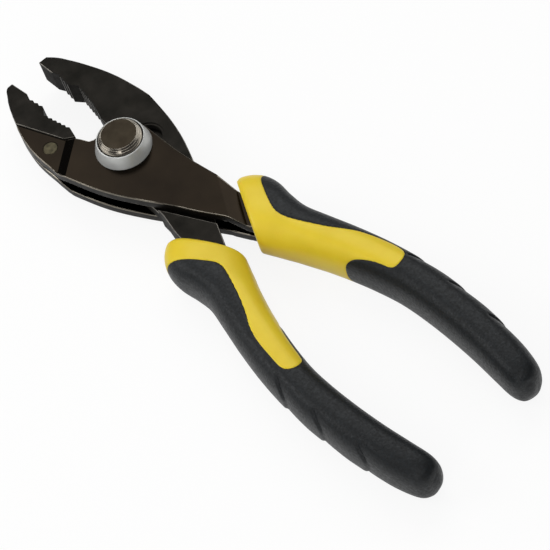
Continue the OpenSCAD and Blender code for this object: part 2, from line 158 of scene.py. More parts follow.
@dataclass(frozen=True)
class Finish:
    """A surface finish: what it is made of and how it was worked.

    Two noises make it: one slow, which varies the colour and the gloss as plating or
    pigment does, and one fine, which is the grain, drawn as height by the bump node.
    """

    name: str
    colour: str
    shade: str
    metallic: float = 0.0
    roughness: float = 0.5
    roughness_spread: float = 0.05
    blotch_mm: float = 20.0
    grain_mm: float = 0.3
    grain_height_mm: float = 0.01
    ior: float = 1.5
    subsurface: float = 0.0
    subsurface_mm: float = 1.5
    specular: float = 0.5
    ring_mm: float = 0.0
    ring_height_mm: float = 0.0
    noise_low: float = 0.3
    noise_high: float = 0.7

    def build(self) -> bpy.types.Material:
        """Makes the material once, and gives it back on later calls.

        Returns:
            The material.
        """
        known = bpy.data.materials.get(self.name)
        if known:
            return known
        material = bpy.data.materials.new(self.name)
        material.use_nodes = True
        tree = material.node_tree
        tree.nodes.clear()
        place = add(tree, "ShaderNodeTexCoord").outputs["Object"]
        shader = add(tree, "ShaderNodeBsdfPrincipled", {
            "Metallic": self.metallic, "IOR": self.ior, "Specular IOR Level": self.specular,
            "Subsurface Weight": self.subsurface,
            "Subsurface Scale": self.subsurface_mm * MM})
        blotch = add(tree, "ShaderNodeTexNoise", {
            "Scale": 1 / (self.blotch_mm * MM), "Detail": 3.0, "Roughness": 0.55},
            {"Vector": place})
        tint = ramp(tree, blotch.outputs["Fac"],
                    [(self.noise_low, linear(self.shade)),
                     (self.noise_high, linear(self.colour))])
        tree.links.new(tint, shader.inputs["Base Color"])
        gloss = add(tree, "ShaderNodeMapRange", {
            "From Min": self.noise_low, "From Max": self.noise_high,
            "To Min": self.roughness + self.roughness_spread,
            "To Max": self.roughness - self.roughness_spread},
            {"Value": blotch.outputs["Fac"]})
        tree.links.new(gloss.outputs["Result"], shader.inputs["Roughness"])
        grain = add(tree, "ShaderNodeTexNoise", {
            "Scale": 1 / (self.grain_mm * MM), "Detail": 2.0}, {"Vector": place})
        bump = add(tree, "ShaderNodeBump", {
            "Strength": 1.0, "Distance": self.grain_height_mm * MM},
            {"Height": grain.outputs["Fac"]})
        normal = bump.outputs["Normal"]
        if self.ring_mm:
            normal = self.rings(tree, place, normal)
        tree.links.new(normal, shader.inputs["Normal"])
        add(tree, "ShaderNodeOutputMaterial", links={"Surface": shader.outputs["BSDF"]})
        return material

    def rings(self, tree: Tree, place: Socket, normal: Socket) -> Socket:
        """Adds fine turning marks: noise along the distance from the object's origin.

        Args:
            tree: the node tree.
            place: the object coordinates.
            normal: the normal that the marks are added to.

        Returns:
            The normal with the marks.
        """
        flat = add(tree, "ShaderNodeVectorMath", {"operation": "MULTIPLY", 1: (1, 1, 0)},
                   {0: place})
        radius = add(tree, "ShaderNodeVectorMath", {"operation": "LENGTH"},
                     {0: flat.outputs["Vector"]})
        split = add(tree, "ShaderNodeSeparateXYZ", links={"Vector": place})
        mix = add(tree, "ShaderNodeCombineXYZ", links={
            "X": radius.outputs["Value"], "Y": split.outputs["Z"]})
        marks = add(tree, "ShaderNodeTexNoise", {
            "Scale": 1 / (self.ring_mm * MM), "Detail": 2.0},
            {"Vector": mix.outputs["Vector"]})
        bump = add(tree, "ShaderNodeBump", {
            "Strength": 1.0, "Distance": self.ring_height_mm * MM},
            {"Height": marks.outputs["Fac"], "Normal": normal})
        return bump.outputs["Normal"]


class Steel(Enum):
    """The metal finishes on the tool."""

    # Black nickel plating over a polished pressing: deep brown, clear reflections
    PLATED = Finish("black_nickel_plated_steel", "#1f1a14", "#181410", metallic=1.0,
                    roughness=0.22, blotch_mm=22, grain_mm=0.6, grain_height_mm=0.002)
    # A lighter finish on the plates' eased edges: it paints their bright highlight lines
    PLATED_EDGE_HIGHLIGHT = Finish("plated_edge_painted_highlight", "#8c867b", "#6a645a", metallic=1.0,
                         roughness=0.28, blotch_mm=5, grain_mm=0.4, grain_height_mm=0.003)
    # Drop forged steel with a black oxide: matte, a little grainy
    FORGED = Finish("black_oxide_forging", "#1d1b18", "#171613", metallic=0.9,
                    roughness=0.4, roughness_spread=0.06, blotch_mm=6, grain_mm=0.35,
                    grain_height_mm=0.012, specular=0.2)
    # A lighter finish on the forging's eased corners and the teeth's tips: it paints their
    # highlights and glints
    FORGED_EDGE_GLINT = Finish("forged_edge_painted_glint", "#77736c", "#4c4945", metallic=0.9,
                         roughness=0.36, blotch_mm=3, grain_height_mm=0.008)
    # The forging's upright walls and teeth: painted shade, a dark finish that hardly shines
    FORGED_WALL_SHADE = Finish("forged_wall_painted_shade", "#23221f", "#191816", metallic=0.04,
                     blotch_mm=2, grain_mm=0.25, grain_height_mm=0.004, specular=0.02)
    # The plates' sheared walls: painted shade, a rougher and less metallic finish than the
    # faces, so the plating looks near black
    PLATED_WALL_SHADE = Finish("plated_wall_painted_shade", "#1a1713", "#12100d", metallic=0.3, blotch_mm=3,
                     grain_mm=0.25, specular=0.15)
    # The collar: turned steel, tumbled to a satin
    SATIN = Finish("satin_turned_steel", "#d4d5d2", "#c6c7c4", metallic=0.55, roughness=0.42,
                   blotch_mm=8, grain_mm=0.2, grain_height_mm=0.003,
                   ring_mm=0.22, ring_height_mm=0.004)
    # The button's bevels: turned and chromed, mirror bright
    CHROME = Finish("turned_chrome", "#a39c90", "#948d81", metallic=1.0, roughness=0.1,
                    roughness_spread=0.02, blotch_mm=8, grain_height_mm=0.0008,
                    ring_mm=0.3, ring_height_mm=0.001)
    # The button's face: dark plated, faced off in a lathe
    FACE = Finish("dark_faced_disc", "#2d2820", "#26211a", metallic=1.0, roughness=0.3,
                  blotch_mm=5, grain_mm=0.25, grain_height_mm=0.002,
                  ring_mm=0.35, ring_height_mm=0.003)
    # Rivet heads, ground flush with the plates
    RIVET = Finish("ground_rivet_steel", "#4c4736", "#3b372a", metallic=0.9, roughness=0.42,
                   blotch_mm=1.2)
    # Spring wire, pin and stem: bright drawn steel
    DRAWN = Finish("drawn_steel", "#a5a29c", "#8f8c86", metallic=1.0, roughness=0.3,
                   blotch_mm=4, grain_mm=0.2, grain_height_mm=0.002)


class Moulding(Enum):
    """The moulded finishes on the grips."""

    # Injection moulded polypropylene, satin, with faint flow mottling
    YELLOW = Finish("satin_yellow_polypropylene", "#e2c731", "#dbbf2a", roughness=0.38,
                    roughness_spread=0.04, blotch_mm=9, grain_mm=0.5,
                    grain_height_mm=0.012, ior=1.49, subsurface=0.08, specular=0.28)
    # Thermoplastic rubber, spark eroded texture, soft to the touch
    BLACK = Finish("soft_black_thermoplastic_rubber", "#181c1f", "#0c0e0f", roughness=0.48,
                   roughness_spread=0.08, blotch_mm=0.8, grain_mm=0.7,
                   grain_height_mm=0.12, specular=0.3)


def show(name: str, mesh: bpy.types.Mesh) -> Piece:
    """Puts a mesh into the scene, shaded smooth.

    Args:
        name: the piece's name.
        mesh: the mesh.

    Returns:
        The object, at the origin.
    """
    mesh.polygons.foreach_set("use_smooth", np.ones(len(mesh.polygons), dtype=bool))
    piece = bpy.data.objects.new(name, mesh)
    bpy.context.scene.collection.objects.link(piece)
    return piece


def place_mesh(name: str, vertices: Array, faces: Array | list,
               materials: list[bpy.types.Material]) -> Piece:
    """Puts arrays into a new object.

    Args:
        name: the piece's name.
        vertices: points in millimetres, one row each.
        faces: corner numbers, one row per face.
        materials: the piece's material slots.

    Returns:
        The object, at the origin.
    """
    mesh = bpy.data.meshes.new(name)
    mesh.from_pydata((vertices * MM).tolist(), [], [list(f) for f in faces])
    mesh.validate()
    for material in materials:
        mesh.materials.append(material)
    return show(name, mesh)


def grid_faces(rows: int, columns: int) -> Array:
    """Quads of a grid whose last column joins its first.

    Each joins two neighbours in a row to the same two in the next.

    Args:
        rows: points along the first parameter.
        columns: points along the second.

    Returns:
        Corner numbers, four to a row.
    """
    i, j = np.meshgrid(np.arange(rows - 1), np.arange(columns), indexing="ij")
    k = (j + 1) % columns
    quads = np.stack([i * columns + j, i * columns + k, (i + 1) * columns + k,
                      (i + 1) * columns + j], axis=-1)
    return quads.reshape(-1, 4)


def tidy_mesh(piece: Piece) -> None:
    """Drops a piece's loose points, merges doubles and turns the faces outwards.

    Args:
        piece: the object.
    """
    work = bmesh.new()
    work.from_mesh(piece.data)
    loose = [v for v in work.verts if not v.link_faces]
    bmesh.ops.delete(work, geom=loose, context="VERTS")
    bmesh.ops.remove_doubles(work, verts=work.verts, dist=MERGE_MM * MM)
    bmesh.ops.recalc_face_normals(work, faces=work.faces)
    work.to_mesh(piece.data)
    work.free()


@dataclass
class EasedSteel:
    """A CAD steel part with its long edges eased by a small chamfer.

    A box in mouth, a low and a high corner, holds the teeth, whose tips get a smaller
    chamfer. Holes, each a centre and a radius, stay sharp. The chamfers take the edge finish,
    which paints highlights on them, and upright walls take the wall finish, which paints
    shade on them. Cones are the centres that the slopes of the slot's hub run round. A rise
    is the height of a unit normal: nought on an upright wall, one on a level face.
    """

    node: str
    body: str
    slot: str
    face: Finish
    edge: Finish
    wall: Finish
    chamfer_mm: float
    shortest_mm: float = 0.9
    mouth: tuple[Triple, ...] = ()
    holes: tuple[Triple, ...] = ()
    cones: tuple[Pair, ...] = ()
    tip_mm: float = 0.16
    cad_merge_mm: float = 0.0002
    eased_merge_mm: float = 0.03
    flat_degrees: float = 0.8
    corner_degrees: float = 40.0
    tip_degrees: float = 30.0
    sharp_degrees: float = 25.0
    wall_rise: float = 0.3
    level_rise: float = 0.9
    cone_slope: float = math.atan2(JAW_HALF - HUB_HALF, HUB_RAMP)
    cone_spread: float = 0.02
    cone_match: float = 0.98
    cone_shade: float = 0.12

    def build(self) -> Piece:
        """Copies the node's mesh, merges it to flat faces and eases the edges.

        Returns:
            The piece that stands for the node.
        """
        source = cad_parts[self.node]
        work = bmesh.new()
        work.from_mesh(source.data)
        bmesh.ops.remove_doubles(work, verts=work.verts, dist=self.cad_merge_mm * MM)
        bmesh.ops.dissolve_limit(work, angle_limit=math.radians(self.flat_degrees),
                                 verts=work.verts, edges=work.edges)
        # Upright faces take the darker wall finish: painted shade
        for one in work.faces:
            upright = abs(one.normal.z) < self.wall_rise
            one.material_index = WALL_SHADE_SLOT if upright else FACE_SLOT
        # The chamfers take the lighter edge finish: painted highlights, and glints on the
        # teeth's tips
        for chosen, width, segments in ((self.corner, self.chamfer_mm, 2),
                                        (self.tip, self.tip_mm, 1)):
            edges = [e for e in work.edges if chosen(e)]
            if edges:
                bmesh.ops.bevel(work, geom=edges, offset=width * MM, offset_type="OFFSET",
                                segments=segments, profile=0.5, affect="EDGES",
                                clamp_overlap=False, material=EDGE_HIGHLIGHT_SLOT, loop_slide=True)
        bmesh.ops.remove_doubles(work, verts=work.verts, dist=self.eased_merge_mm * MM)
        self.fill_flats(work)
        mesh = bpy.data.meshes.new(f"{self.node}_eased")
        work.to_mesh(mesh)
        work.free()
        for finish in (self.face, self.edge, self.wall):
            mesh.materials.append(finish.build())
        piece = show(f"{self.node}_eased", mesh)
        mesh.set_sharp_from_angle(angle=math.radians(self.sharp_degrees))
        self.settle_normals(piece)
        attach(piece, self.body)
        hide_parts(self.node)
        return piece

    @staticmethod
    def fill_flats(work: bmesh.types.BMesh) -> None:
        """Cuts each face of five or more corners into triangles.

        The corners are turned into the face's own plane, where a constrained Delaunay fill
        finds the triangles. Where two sides cross, it adds the crossing as a corner.

        Args:
            work: the mesh, which is changed.
        """
        inside_only, same_point_mm = 1, 1e-4
        for face in [one for one in work.faces if len(one.verts) > 4]:
            corners = list(face.verts)
            turn = face.normal.to_track_quat("Z", "Y")
            level = [(turn.inverted() @ v.co) / MM for v in corners]
            height = sum(p.z for p in level) / len(level)
            points, _, fills, origins, _, _ = delaunay_2d_cdt(
                [p.xy for p in level], [], [list(range(len(level)))], inside_only,
                same_point_mm)
            owners = [corners[first[0]] if first
                      else work.verts.new(turn @ Vector((*p, height)) * MM)
                      for p, first in zip(points, origins)]
            slot = face.material_index
            work.faces.remove(face)
            for fill in fills:
                three = [owners[k] for k in fill]
                if len(set(three)) == 3 and not work.faces.get(three):
                    work.faces.new(three).material_index = slot
        loose = [edge for edge in work.edges if edge.is_wire]
        bmesh.ops.delete(work, geom=loose, context="EDGES")
        work.normal_update()

    def settle_normals(self, piece: Piece) -> None:
        """Sets each corner's normal, so that flats shade flat and cones shade round.

        Normals weighted by face size come first. Faces that lie level or slope gently then
        get their own plane's normal, and the hub's slopes get a cone's.

        Args:
            piece: the eased copy.
        """
        weighted = piece.modifiers.new("weighted", "WEIGHTED_NORMAL")
        weighted.keep_sharp = True
        shaped = piece.evaluated_get(bpy.context.evaluated_depsgraph_get()).data
        mesh = piece.data
        normal = np.empty(len(mesh.loops) * 3)
        shaped.corner_normals.foreach_get("vector", normal)
        normal = normal.reshape(-1, 3)
        face = np.empty(len(mesh.polygons) * 3)
        mesh.polygons.foreach_get("normal", face)
        sizes = np.array([len(one.vertices) for one in mesh.polygons])
        plain = np.array([one.material_index == FACE_SLOT for one in mesh.polygons])
        own = np.repeat(face.reshape(-1, 3), sizes, axis=0)
        plain = np.repeat(plain, sizes)
        level = plain & (np.abs(own[:, 2]) > self.level_rise)
        normal[level] = own[level]
        if self.cones:
            self.shade_cones(mesh, own, plain, normal)
        piece.modifiers.remove(weighted)
        mesh.normals_split_custom_set(normal.tolist())

    def shade_cones(self, mesh: bpy.types.Mesh, own: Array, plain: Array,
                    normal: Array) -> None:
        """Gives the slopes of the hub a cone's normals.

        On a cone that opens upwards about a centre, the normal is minus the direction from
        the centre times the sine of the slope, with the cosine of the slope as its height.
        A forging blends such a cone into the flat, so only a share of the slope is used.

        Args:
            mesh: the eased mesh.
            own: for each face corner, the normal of the face's own plane.
            plain: for each face corner, whether the face has the face finish.
            normal: for each face corner, the normal to shade with, which is changed.
        """
        corner = np.empty(len(mesh.loops), dtype=np.int32)
        mesh.loops.foreach_get("vertex_index", corner)
        place = np.empty(len(mesh.vertices) * 3)
        mesh.vertices.foreach_get("co", place)
        place = place.reshape(-1, 3)[corner, :2] / MM
        flatness, tilt = math.cos(self.cone_slope), math.sin(self.cone_slope)
        up = np.sign(own[:, 2]) * flatness
        sloped = plain & (np.abs(np.abs(own[:, 2]) - flatness) < self.cone_spread)
        best = np.full(len(corner), -1.0)
        for centre in self.cones:
            away = place - np.array(centre)
            away = away / np.maximum(np.linalg.norm(away, axis=1, keepdims=True), TINY)
            match = -(away * own[:, :2]).sum(axis=1) * tilt + up * own[:, 2]
            better = sloped & (match > best) & (match > self.cone_match)
            shaded = np.column_stack([-away * tilt * self.cone_shade, up])
            shaded = shaded / np.linalg.norm(shaded, axis=1, keepdims=True)
            normal[better] = shaded[better]
            best = np.where(better, match, best)

    def in_mouth(self, corner: bmesh.types.BMVert) -> bool:
        """Whether a corner lies in the box that holds the teeth.

        Args:
            corner: the mesh's corner.

        Returns:
            True inside the box.
        """
        return bool(self.mouth) and all(
            low <= value <= high for low, value, high in zip(self.mouth[0], corner.co / MM,
                                                             self.mouth[1]))

    def corner(self, edge: bmesh.types.BMEdge) -> bool:
        """Whether an edge is a long convex corner away from the teeth and the holes.

        Args:
            edge: the mesh's edge.

        Returns:
            True where the edge gets the chamfer.
        """
        if len(edge.link_faces) != 2 or not edge.is_convex:
            return False
        if edge.calc_face_angle() < math.radians(self.corner_degrees):
            return False
        if edge.calc_length() < self.shortest_mm * MM:
            return False
        middle = (edge.verts[0].co + edge.verts[1].co).xy / (2 * MM)
        if any((middle - Vector(hole[:2])).length < hole[2] for hole in self.holes):
            return False
        return not all(self.in_mouth(v) for v in edge.verts)

    def tip(self, edge: bmesh.types.BMEdge) -> bool:
        """Whether an edge is the upright convex tip of a tooth or notch.

        Args:
            edge: the mesh's edge.

        Returns:
            True where the edge gets the smaller chamfer.
        """
        if len(edge.link_faces) != 2 or not edge.is_convex:
            return False
        if any(one.material_index != WALL_SHADE_SLOT for one in edge.link_faces):
            return False
        if not all(self.in_mouth(v) for v in edge.verts):
            return False
        return edge.calc_face_angle() > math.radians(self.tip_degrees)


@dataclass
class Turned:
    """A part turned in a lathe: a profile carried round an axis that stands along Z."""

    name: str
    body: str
    slot: str
    finish: Finish
    profile: list[Pair]
    node: str
    ease_mm: float
    centre: Pair = (0.0, 0.0)
    steps: int = 160
    sharp_degrees: float = 40.0

    def build(self) -> Piece:
        """Carries the eased profile round the axis.

        Point (radius, height) goes to (centre + radius times the direction, height), for
        each direction of the circle.

        Returns:
            The piece.
        """
        outline = ease_corners(np.array(self.profile, dtype=float), self.ease_mm)
        angle = np.linspace(0, 2 * np.pi, self.steps, endpoint=False)
        radius, height = outline[:, 0], outline[:, 1]
        points = np.stack([
            self.centre[0] + radius[:, None] * np.cos(angle),
            self.centre[1] + radius[:, None] * np.sin(angle),
            np.repeat(height[:, None], self.steps, axis=1)], axis=-1)
        faces = grid_faces(len(outline), self.steps)
        piece = place_mesh(self.name, points.reshape(-1, 3), faces, [self.finish.build()])
        tidy_mesh(piece)
        piece.data.set_sharp_from_angle(angle=math.radians(self.sharp_degrees))
        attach(piece, self.body)
        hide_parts(self.node)
        return piece


def ease_corners(points: Array, radius: float, most: float = 0.45, steps: int = 5) -> Array:
    """Rounds the corners between the ends of an open profile.

    Each corner is replaced by points of the quadratic curve (1 - t) squared times its
    start, plus 2 t (1 - t) times the corner, plus t squared times its end.

    Args:
        points: the profile, one point a row.
        radius: how far from the corner the curve starts and ends, in millimetres.
        most: the largest share of a side that a curve may take.
        steps: how many points a curve has.

    Returns:
        The rounded profile.
    """
    t = np.linspace(0, 1, steps)[:, None]
    out = [points[:1]]
    for before, corner, after in zip(points, points[1:], points[2:]):
        a, b = before - corner, after - corner
        la, lb = np.linalg.norm(a), np.linalg.norm(b)
        start = corner + a / la * min(radius, most * la)
        end = corner + b / lb * min(radius, most * lb)
        out.append((1 - t) ** 2 * start + 2 * t * (1 - t) * corner + t ** 2 * end)
    return np.concatenate([*out, points[-1:]])


def spline_rows(rows: Array, u: Array) -> Array:
    """Smooth values through a table's rows.

    Between rows b and c, with a and d outside them, the value is the cubic that passes
    through b and c with slopes (c - a) / 2 and (d - b) / 2.

    Args:
        rows: the table.
        u: places along it, counted in rows.

    Returns:
        One row for each place.
    """
    last = len(rows) - 1
    k = np.clip(np.floor(u).astype(int), 0, last - 1)
    t = (u - k)[:, None]
    a, b = rows[np.clip(k - 1, 0, last)], rows[k]
    c, d = rows[k + 1], rows[np.clip(k + 2, 0, last)]
    return (b + (c - a) * t / 2 + (2 * a - 5 * b + 4 * c - d) * t ** 2 / 2
            + (3 * (b - c) + d - a) * t ** 3 / 2)


def signed_distance(points: Array, outline: Array, batch: int = 8000) -> Array:
    """Signed distance from points to a closed outline, positive outside it.

    The distance is the least over its sides, and the sign comes from counting the sides
    that a ray along X crosses.

    Args:
        points: plan points, one a row.
        outline: the outline's points, one a row.
        batch: about how many points are worked out together.

    Returns:
        One distance for each point.
    """
    a = outline[None, :, :]
    b = np.roll(outline, -1, axis=0)[None, :, :]
    out = np.empty(len(points))
    side = b - a
    rise = np.where(np.abs(side[..., 1]) < TINY, TINY, side[..., 1])
    square = np.maximum((side ** 2).sum(-1), TINY)
    for part in np.array_split(np.arange(len(points)), max(1, len(points) // batch)):
        p = points[part][:, None, :]
        along = np.clip(((p - a) * side).sum(-1) / square, 0, 1)
        gap = np.linalg.norm(p - a - along[..., None] * side, axis=-1).min(axis=1)
        straddles = (a[..., 1] > p[..., 1]) != (b[..., 1] > p[..., 1])
        crossing = a[..., 0] + (p[..., 1] - a[..., 1]) / rise * side[..., 0]
        inside = (straddles & (p[..., 0] < crossing)).sum(axis=1) % 2 == 1
        out[part] = np.where(inside, -gap, gap)
    return out


def smooth_step(low: float, high: float, value: Array) -> Array:
    """Rises from nought at low to one at high, with level ends.

    With t the share of the way, it is t squared times (3 - 2 t).

    Args:
        low: where the rise starts.
        high: where it ends.
        value: the values to look up.

    Returns:
        One number from nought to one for each value.
    """
    t = np.clip((value - low) / (high - low), 0, 1)
    return t * t * (3 - 2 * t)


class Layer(Enum):
    """The two mouldings of a grip."""

    BODY = "body"
    COVER = "cover"


# Edge of the yellow shell in plan, in millimetres; beyond the grip's sides it only closes
LEFT_SHELL_EDGE = (
    (-30, 32), (-39.8, 30), (-41.1, 22.3), (-43.6, 19.2), (-47.6, 16.2), (-51.9, 13.5),
    (-55.4, 11.5), (-58.2, 11.2), (-62.4, 12.4), (-69.7, 15.2), (-75.3, 17.9), (-79.1, 20.1),
    (-83.8, 21.8), (-90.1, 23.0), (-95.4, 23.7), (-98.0, 22.8), (-99.2, 20.4), (-98.4, 18.0),
    (-96.2, 16.9), (-90.0, 15.3), (-84.4, 13.5), (-79.6, 10.8), (-76.4, 6.5), (-74, 0),
    (-53, -4), (-30, 3))
# The same for the right grip, mirrored to the left one's side
RIGHT_SHELL_EDGE = (
    (-30, 32), (-40.5, 30), (-41.4, 21.5), (-43.4, 17.9), (-47.6, 15.4), (-52.4, 13.2),
    (-56.0, 12.1), (-59.4, 12.3), (-63.4, 13.7), (-67.5, 15.6), (-72.3, 17.9), (-76.7, 20.6),
    (-80.7, 23.0), (-86.6, 25.2), (-92.4, 26.5), (-95.8, 26.0), (-97.4, 23.8), (-97.6, 20.9),
    (-96.2, 19.4), (-92.0, 18.3), (-87.6, 16.4), (-84.6, 14.3), (-83.3, 11.6), (-84.4, 4),
    (-86, -4), (-53, -5), (-30, 3))


@dataclass
class Grip:
    """One moulded grip: a hard shell with a soft cover let into it.

    Sizes are in millimetres, on the left grip's side; the right grip is its mirror image.
    A station has the plan places of the outer and inner edge as shares of the reach, and
    the half thickness as a share of half_t. Pairs of numbers are where a smooth step starts
    and ends.
    """

    side: str
    rides: str
    sign: float
    shell_edge: tuple[Pair, ...]
    reach: float = 152.5
    half_t: float = 8.6
    power: float = 2.5
    rows: int = 600
    columns: int = 168
    edge_steps: int = 12
    seam: float = 0.3
    seam_gap: float = 0.02
    seam_depth: float = 0.16
    tuck: float = 0.7
    lap: float = 1.6
    groove_x: tuple[float, ...] = (-95.8, -111.5, -127.9)
    groove_length: float = 10.5
    groove_depth: float = 0.5
    groove_power: float = 1.4
    groove_sweep: float = 5.5
    groove_lip: Pair = (-0.1, 0.12)
    groove_side: Pair = (0.3, 0.75)
    nick_width: float = 0.7
    nick_start: Pair = (0.48, 0.62)
    nick_end: Pair = (0.92, 0.99)
    deepest: float = 0.65
    dome: float = 0.8
    cap_shares: tuple[float, ...] = (0.97, 0.9, 0.78, 0.6, 0.4, 0.2, 0.0)
    stations: tuple[tuple[float, ...], ...] = (
        (-0.3655, 0.021, -0.233, 0.0915, 0.81), (-0.374, 0.0185, -0.2345, 0.1035, 0.92),
        (-0.384, 0.022, -0.25, 0.1225, 0.965), (-0.4, 0.029, -0.274, 0.137, 0.99),
        (-0.4205, 0.0376, -0.306, 0.1416, 1), (-0.443, 0.0478, -0.346, 0.1368, 1),
        (-0.4695, 0.0582, -0.389, 0.1362, 0.99), (-0.506, 0.0714, -0.442, 0.149, 0.985),
        (-0.5525, 0.0852, -0.507, 0.166, 0.98), (-0.606, 0.0982, -0.5784, 0.1812, 0.98),
        (-0.6614, 0.108, -0.6494, 0.191, 0.985), (-0.721, 0.1113, -0.721, 0.1947, 0.995),
        (-0.7875, 0.1105, -0.7965, 0.1928, 1), (-0.853, 0.1065, -0.8685, 0.1863, 0.985),
        (-0.9125, 0.1, -0.9335, 0.175, 0.94), (-0.955, 0.0955, -0.977, 0.162, 0.86),
        (-0.979, 0.0988, -0.992, 0.147, 0.68), (-0.9895, 0.1075, -0.9955, 0.135, 0.42))

    def surface(self) -> tuple[Array, Array]:
        """The grip's outer surface, as rings along smooth curves through the stations.

        A ring's point at angle a lies at middle + half * f(cos a) in plan and at
        thickness * f(sin a) in height, where f keeps the sign and raises the size to 2 /
        power, a rounded oblong. The ends are closed by rings that shrink to a point.

        Returns:
            Points of the grid and the angle of each column.
        """
        table = np.array(self.stations) * ([self.reach] * 4 + [self.half_t])
        rows = spline_rows(table, np.linspace(0, len(table) - 1, self.rows))
        middle = (rows[:, 0:2] + rows[:, 2:4]) / 2
        half = (rows[:, 2:4] - rows[:, 0:2]) / 2
        angle = np.linspace(0, 2 * np.pi, self.columns, endpoint=False) + np.pi / self.columns
        round_part = np.stack([np.cos(angle), np.sin(angle)])
        c, s = np.sign(round_part) * np.abs(round_part) ** (2 / self.power)
        plan = middle[:, None, :] + half[:, None, :] * c[None, :, None]
        height = rows[:, 4, None] * s[None, :]
        grid = np.concatenate([plan, height[..., None] + MID_Z], axis=-1)
        front = self.cap(grid[0], grid[1], 0.0)
        back = self.cap(grid[-1], grid[-2], self.dome)
        return np.concatenate([front[::-1], grid, back]), angle

    def cap(self, ring: Array, inner: Array, dome: float) -> Array:
        """Rings that close an end.

        Each is the last one shrunk to a share of its size and moved outwards by the
        dome's height times (1 - share squared).

        Args:
            ring: the end ring.
            inner: the ring before it, which gives the outward direction.
            dome: height of the domed end, nought where a tang comes out.

        Returns:
            The rings, from large to small.
        """
        centre = ring.mean(axis=0)
        away = centre - inner.mean(axis=0)
        away = away / np.linalg.norm(away)
        shares = np.array(self.cap_shares)[:, None, None]
        return centre + (ring - centre)[None] * shares + away * dome * (1 - shares ** 2)

    def build(self, layer: Layer) -> Piece:
        """Makes one moulding of the grip.

        Both mouldings start as the whole surface. Along its normal, each is lowered near
        the seam, and tucked under the other for the width of the lap beyond it. The cover
        also has the finger grooves.

        Args:
            layer: which moulding.

        Returns:
            The piece.
        """
        points, angle = self.surface()
        rows, columns = points.shape[:2]
        normal = grid_normals(points)
        plan = points[..., :2].reshape(-1, 2)
        edge = spline_closed(np.array(self.shell_edge), self.edge_steps)
        gap = signed_distance(plan, edge).reshape(rows, columns)
        own = gap if layer is Layer.COVER else -gap
        drop = self.seam_depth * (1 - smooth_step(0, self.seam, own))
        drop = drop + (self.tuck - self.seam_depth) * (
            1 - smooth_step(-self.seam * 2, -self.seam_gap, own))
        if layer is Layer.COVER:
            drop = drop + self.grooves(points, angle)
        points = points - normal * drop[..., None]
        faces = grid_faces(rows, columns)
        keep = (own > -self.lap).reshape(-1)[faces].any(axis=1)
        points[..., 1] *= self.sign
        finish = (Moulding.YELLOW if layer is Layer.BODY else Moulding.BLACK).value
        node = f"{self.side}_grip_{layer.value}"
        piece = place_mesh(f"{node}_moulded", points.reshape(-1, 3), faces[keep],
                           [finish.build()])
        tidy_mesh(piece)
        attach(piece, self.rides)
        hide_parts(node)
        return piece

    def grooves(self, points: Array, angle: Array) -> Array:
        """Depth of the finger grooves on the outer side.

        With t the share of the groove's length behind its front edge, the depth is
        (1 - t) to the groove's power times the full depth, and nought before the edge. A
        narrow nick, a bell curve, is cut along the edge between the crest and the middle
        of the side. Edge and nick sweep back by the third power of the cosine of the
        angle. The sum stops at the deepest depth, just above the shell's tucked lap.

        Args:
            points: the grid's points.
            angle: the angle of each column; nought is the outer side.

        Returns:
            One depth for each point.
        """
        side = np.clip(np.cos(angle), 0, 1)[None, :]
        outer = smooth_step(*self.groove_side, side)
        upper = smooth_step(*self.nick_start, side) * (1 - smooth_step(*self.nick_end, side))
        total = np.zeros(points.shape[:2])
        for x in self.groove_x:
            behind = x - self.groove_sweep * side ** 3 - points[..., 0]
            t = behind / self.groove_length
            fall = smooth_step(*self.groove_lip, t) * np.clip(1 - t, 0, 1) ** self.groove_power
            fall = fall * self.groove_depth * outer
            nick = np.exp(-((behind - self.nick_width / 2) / self.nick_width * 2) ** 2)
            nick = nick * self.deepest * upper
            total = np.maximum(total, np.minimum(fall + nick, self.deepest))
        return total


def grid_normals(points: Array) -> Array:
    """Outward unit normals of a grid: the cross product of its two slopes.

    Args:
        points: the grid, whose columns wrap round.

    Returns:
        One normal for each point.
    """
    along = np.gradient(points, axis=0)
    across = np.roll(points, -1, axis=1) - np.roll(points, 1, axis=1)
    normal = np.cross(across, along)
    length = np.linalg.norm(normal, axis=-1, keepdims=True)
    normal = normal / np.maximum(length, TINY)
    outward = points - points.mean(axis=1, keepdims=True)
    return normal * np.sign((normal * outward).sum(axis=-1).mean())


def spline_closed(points: Array, per_side: int) -> Array:
    """A smooth closed curve through points, with the same cubic as the grip's stations.

    Args:
        points: the points, one a row.
        per_side: how many points each side gets.

    Returns:
        The curve's points.
    """
    count = len(points)
    padded = np.concatenate([points[-1:], points, points[:2]])
    u = 1 + np.arange(count * per_side) / per_side
    return spline_rows(padded, u)


